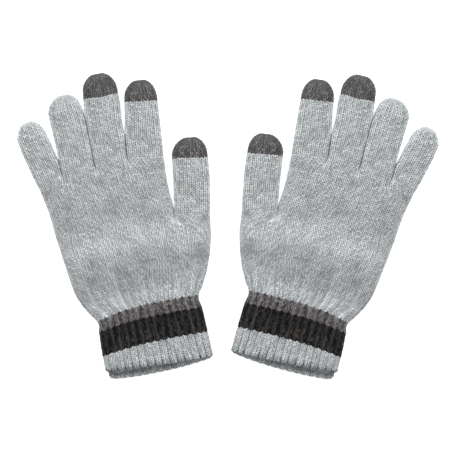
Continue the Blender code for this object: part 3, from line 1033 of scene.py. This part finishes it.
def build(glove, name, rows, outer, inner, closed, slot, hollow=None, painted_shading=None):
    """A closed shell of knit from its rows, standing for the CAD node of the same name."""
    node = f"{glove.side}_{name}"
    pick = sorted({*range(0, len(rows), LINING_ROWS), len(rows) - 1})
    points = np.concatenate([outer, inner[pick][::-1]])
    courses = np.concatenate([rows, rows[pick][::-1]])
    mesh = shell(glove, node, points, courses, closed, len(rows))
    sunk, painted_shading_values = np.zeros(points.shape[:2]), np.ones(points.shape[:2])
    if hollow is not None:
        sunk[:len(rows)] = hollow
    if painted_shading is not None:
        painted_shading_values[:len(rows)] = painted_shading
        painted_shading_values[len(rows):] = LINING_PAINTED_LIGHT
    # Kept for the material: grooves and creases, painted as shade on light grey yarn, then painted light
    # and shade
    note(mesh, "sunk", sunk)
    note(mesh, "painted_shading", painted_shading_values)
    return show(mesh, node, slot)


def bend(glove, obj, name):
    """Bake a finger piece's placement into its mesh."""
    root = glove.roots[name]
    places = [root["centre"] + root["forward"] * along for along in FINGER_BEND]
    ends = [glove.world((*place_at, BEND_HEIGHT)) for place_at in places]
    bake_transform(obj)


def inside(lining, way, base):
    """The lining's points, one fabric inwards or less where the two layers are close."""
    depth = np.clip(0.4 * gaps(base), 0.1, FABRIC)
    return lining - way * depth[..., None]


def hand_painted_shading(rows):
    """Painted light and shade on each row of the hand."""
    return read(PAINTED_SHADING, rows)[:, None]


def mouth_painted_shade(rows, across):
    """Painted shade at the cuff's mouth, where the fabric turns in: the share of lightness kept."""
    near = 1 - smooth(-CUFF_COURSES, -CUFF_COURSES + MOUTH_SHADE_COURSES, rows)
    return 1 - MOUTH_SHADE * near[:, None] * np.interp(across, CUFF_SIDES[3], MOUTH_SHADE_ENDS)


def touch_shade(name, along, count):
    """How deep in the crease between two fingers each point of a finger lies, 0 to 1, for painted shade.
    """
    column = np.arange(count)
    half = count // 2
    shade = np.zeros((len(along), count))
    for middle, length in zip((0, half), TOUCH[name]):
        if not length:
            continue
        off = np.minimum(np.abs(column - middle), count - np.abs(column - middle))
        near = np.exp(-((off / TOUCH_WIDTH) ** 2))
        shade = np.maximum(shade, near[None, :] * (1 - smooth(length - 2, length + 2, along))[:, None])
    return shade


def make_finger(glove, name, edge, number):
    """Knit one finger on from the hand's edge, with its conductive tip where it has one."""
    rows, along, base, seam = finger_sleeve(glove, name)
    outer, lining, way, _, painted_shading = knit(rows, base, glove.seed + 10 * number)
    hollow = touch_shade(name, along, base.shape[1])
    painted_shading = painted_shading * FINGER_COLOUR_LIFT
    inner = inside(lining, way, base)
    shift = join(outer, edge) - outer
    outer, inner = outer + shift, inner + shift
    node = name if name == "thumb" else f"{name}_finger"
    if seam is None:
        bend(glove, build(glove, node, rows, outer, inner, True, "light_grey_yarn", hollow, painted_shading), name)
        return
    cut = seam * ROWS
    tube = build(
        glove, node, rows[:cut + 1], outer[:cut + 1], inner[:cut + 1], False, "light_grey_yarn",
        hollow[:cut + 1], painted_shading[:cut + 1],
    )
    bend(glove, tube, name)
    tip = build(glove, f"{name}_tip", rows[cut:], outer[cut:], inner[cut:], True, "conductive_yarn")
    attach(tip, f"{glove.side}_{name}")


def thread_path(lining, way):
    """Middle line of the elastic thread: one coil round the cuff, just inside its lining."""
    count = lining.shape[1]
    column = np.arange(0, ELASTIC_TURNS * count + 1, ELASTIC_STEP)
    level = (CUFF_COURSES - ELASTIC_START - ELASTIC_PITCH * column / count) * ROWS
    row = np.floor(level).astype(int)
    part = (level - row)[:, None]
    inner = lining - way * ELASTIC_DEPTH
    column = column % count
    return inner[row, column] * (1 - part) + inner[row + 1, column] * part


def thread_tube(path):
    """Corners and faces of a round thread along a path, closed at both ends."""
    ahead = unit(np.gradient(path, axis=0))
    aside = unit(np.cross(ahead, (0.0, 1.0, 0.0)))
    other = np.cross(ahead, aside)
    angle = 2 * np.pi * np.arange(ELASTIC_SIDES)[:, None] / ELASTIC_SIDES
    spokes = np.cos(angle) * aside[:, None] + np.sin(angle) * other[:, None]
    points = (path[:, None] + ELASTIC_THREAD * spokes).reshape(-1, 3)
    last = len(points) - ELASTIC_SIDES
    faces = [list(range(ELASTIC_SIDES))[::-1], list(range(last, len(points)))]
    for base in range(0, last, ELASTIC_SIDES):
        after = base + ELASTIC_SIDES
        for here in range(ELASTIC_SIDES):
            beside = (here + 1) % ELASTIC_SIDES
            faces.append([base + here, base + beside, after + beside, after + here])
    return points, faces


def make_elastic(glove, lining, way):
    """The elastic thread inside the cuff."""
    node = f"{glove.side}_cuff_elastic"
    points, faces = thread_tube(thread_path(lining, way))
    if glove.side == "right":
        faces = [face[::-1] for face in faces]
    mesh = bpy.data.meshes.new(node)
    mesh.from_pydata([tuple(point) for point in glove.world(points)], [], faces)
    layer = mesh.uv_layers.new(name="Stitches")
    for loop in mesh.loops:
        along, turned = divmod(loop.vertex_index, ELASTIC_SIDES)
        layer.data[loop.index].uv = (turned / ELASTIC_SIDES, along / ELASTIC_SIDES)
    note(mesh, "painted_shading", np.ones(len(points)))
    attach(show(mesh, node, "elastic_thread"), f"{glove.side}_cuff")


def make_glove(glove):
    """Knit one glove from the mouth of its cuff to its fingertips."""
    rows, base = lower_hand(glove)
    outer, lining, way, hollow, painted_shading = knit(rows, base, glove.seed, ribbed=True)
    painted_shading = painted_shading * hand_painted_shading(rows) * mouth_painted_shade(rows, base[..., 0])
    inner = inside(lining, way, base)
    bands = (
        ("cuff_edge", EDGE_COURSES, "light_grey_yarn"),
        ("cuff_light_band", LIGHT_COURSES, "light_grey_yarn"),
        ("cuff_black_band", BLACK_COURSES, "black_yarn"),
        ("cuff_grey_band", GREY_COURSES, "dark_grey_yarn"),
        ("lower_palm", LOWER_COURSES, "light_grey_yarn"),
    )
    first = 0
    for name, courses, slot in bands:
        cut = slice(first, first + courses * ROWS + 1)
        piece = build(glove, name, rows[cut], outer[cut], inner[cut], False, slot, hollow[cut], painted_shading[cut])
        if name in ("lower_palm", "cuff_grey_band"):
            ends = [glove.world((0.0, along, BEND_HEIGHT)) for along in WRIST_BEND]
            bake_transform(piece)
        else:
            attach(piece, f"{glove.side}_cuff")
        first += courses * ROWS
    make_elastic(glove, lining, way)

    palm_edge = outer[-1]
    fingers = sum(WALES[name] for name in FINGERS)
    make_finger(glove, "thumb", strip_edge(palm_edge, fingers, fingers + WALES["thumb"]), 5)

    rows, base = upper_hand(glove)
    outer, lining, way, _, painted_shading = knit(rows, base, glove.seed + 7)
    painted_shading = painted_shading * hand_painted_shading(rows)
    inner = inside(lining, way, base)
    shift = join(outer, strip_edge(palm_edge, 0, fingers)) - outer
    outer, inner = outer + shift, inner + shift
    palm = build(glove, "upper_palm", rows, outer, inner, False, "light_grey_yarn", None, painted_shading)
    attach(palm, f"{glove.side}_hand")
    begin = 0
    for number, name in enumerate(FINGERS):
        end = begin + WALES[name]
        make_finger(glove, name, strip_edge(outer[-1], begin, end), number + 1)
        begin = end


for side in SIDES:
    make_glove(Glove(side))


# Studio ------------

def glow(tree, seen, always):
    """Strength of a surface that shines a little, and more where it is looked at."""
    n = Nodes(tree)
    return n.math("MULTIPLY_ADD", n.add("LightPath").outputs["Is Camera Ray"], seen, always)


def make_floor():
    """A plain white table top."""
    mesh = bpy.data.meshes.new("table_top")
    square = [(x * FLOOR_REACH, y * FLOOR_REACH, 0) for x, y in ((-1, -1), (1, -1), (1, 1), (-1, 1))]
    mesh.from_pydata(square, [], [(0, 1, 2, 3)])
    floor = bpy.data.objects.new("table_top", mesh)
    bpy.context.scene.collection.objects.link(floor)
    material = bpy.data.materials.new("white_table")
    material.use_nodes = True
    shader = material.node_tree.nodes["Principled BSDF"]
    shader.inputs["Base Color"].default_value = FLOOR_COLOUR
    shader.inputs["Roughness"].default_value = 0.9
    shader.inputs["Specular IOR Level"].default_value = 0.0
    shader.inputs["Emission Color"].default_value = (1.0, 1.0, 1.0, 1.0)
    strength = glow(material.node_tree, FLOOR_GLOW, FLOOR_LIGHT)
    material.node_tree.links.new(strength, shader.inputs["Emission Strength"])
    mesh.materials.append(material)


def soft_light(name, place_at, size, power):
    """A large square lamp that faces the middle of the table."""
    lamp = bpy.data.lights.new(name, "AREA")
    lamp.size = size
    lamp.energy = power
    obj = bpy.data.objects.new(name, lamp)
    obj.location = place_at
    obj.rotation_euler = (-Vector(place_at)).to_track_quat("-Z", "Y").to_euler()
    bpy.context.scene.collection.objects.link(obj)


def make_camera():
    """A long lens straight above the gloves."""
    lens = bpy.data.cameras.new("overhead")
    lens.sensor_width = SENSOR
    lens.lens = SENSOR * (CAMERA_HEIGHT - MIDDLE_HEIGHT) / VIEW_SPAN
    lens.clip_end = 20.0
    obj = bpy.data.objects.new("overhead", lens)
    obj.location = (VIEW_CENTRE[0] * MM, VIEW_CENTRE[1] * MM, CAMERA_HEIGHT * MM)
    bpy.context.scene.collection.objects.link(obj)
    bpy.context.scene.camera = obj


def make_studio():
    """White light from all round, with a soft lamp beyond each glove and a weak one in front."""
    world = bpy.data.worlds.new("studio")
    world.use_nodes = True
    shade = world.node_tree.nodes["Background"].inputs
    shade["Color"].default_value = (1.0, 1.0, 1.0, 1.0)
    world.node_tree.links.new(glow(world.node_tree, 1.0 - SKY_LIGHT, SKY_LIGHT), shade["Strength"])
    bpy.context.scene.world = world
    for name, (place_at, size, power) in LAMPS.items():
        soft_light(name, place_at, size, power)
    bpy.context.scene.view_settings.view_transform = "Standard"
    bpy.context.scene.view_settings.look = "None"


make_floor()
make_studio()
make_camera()
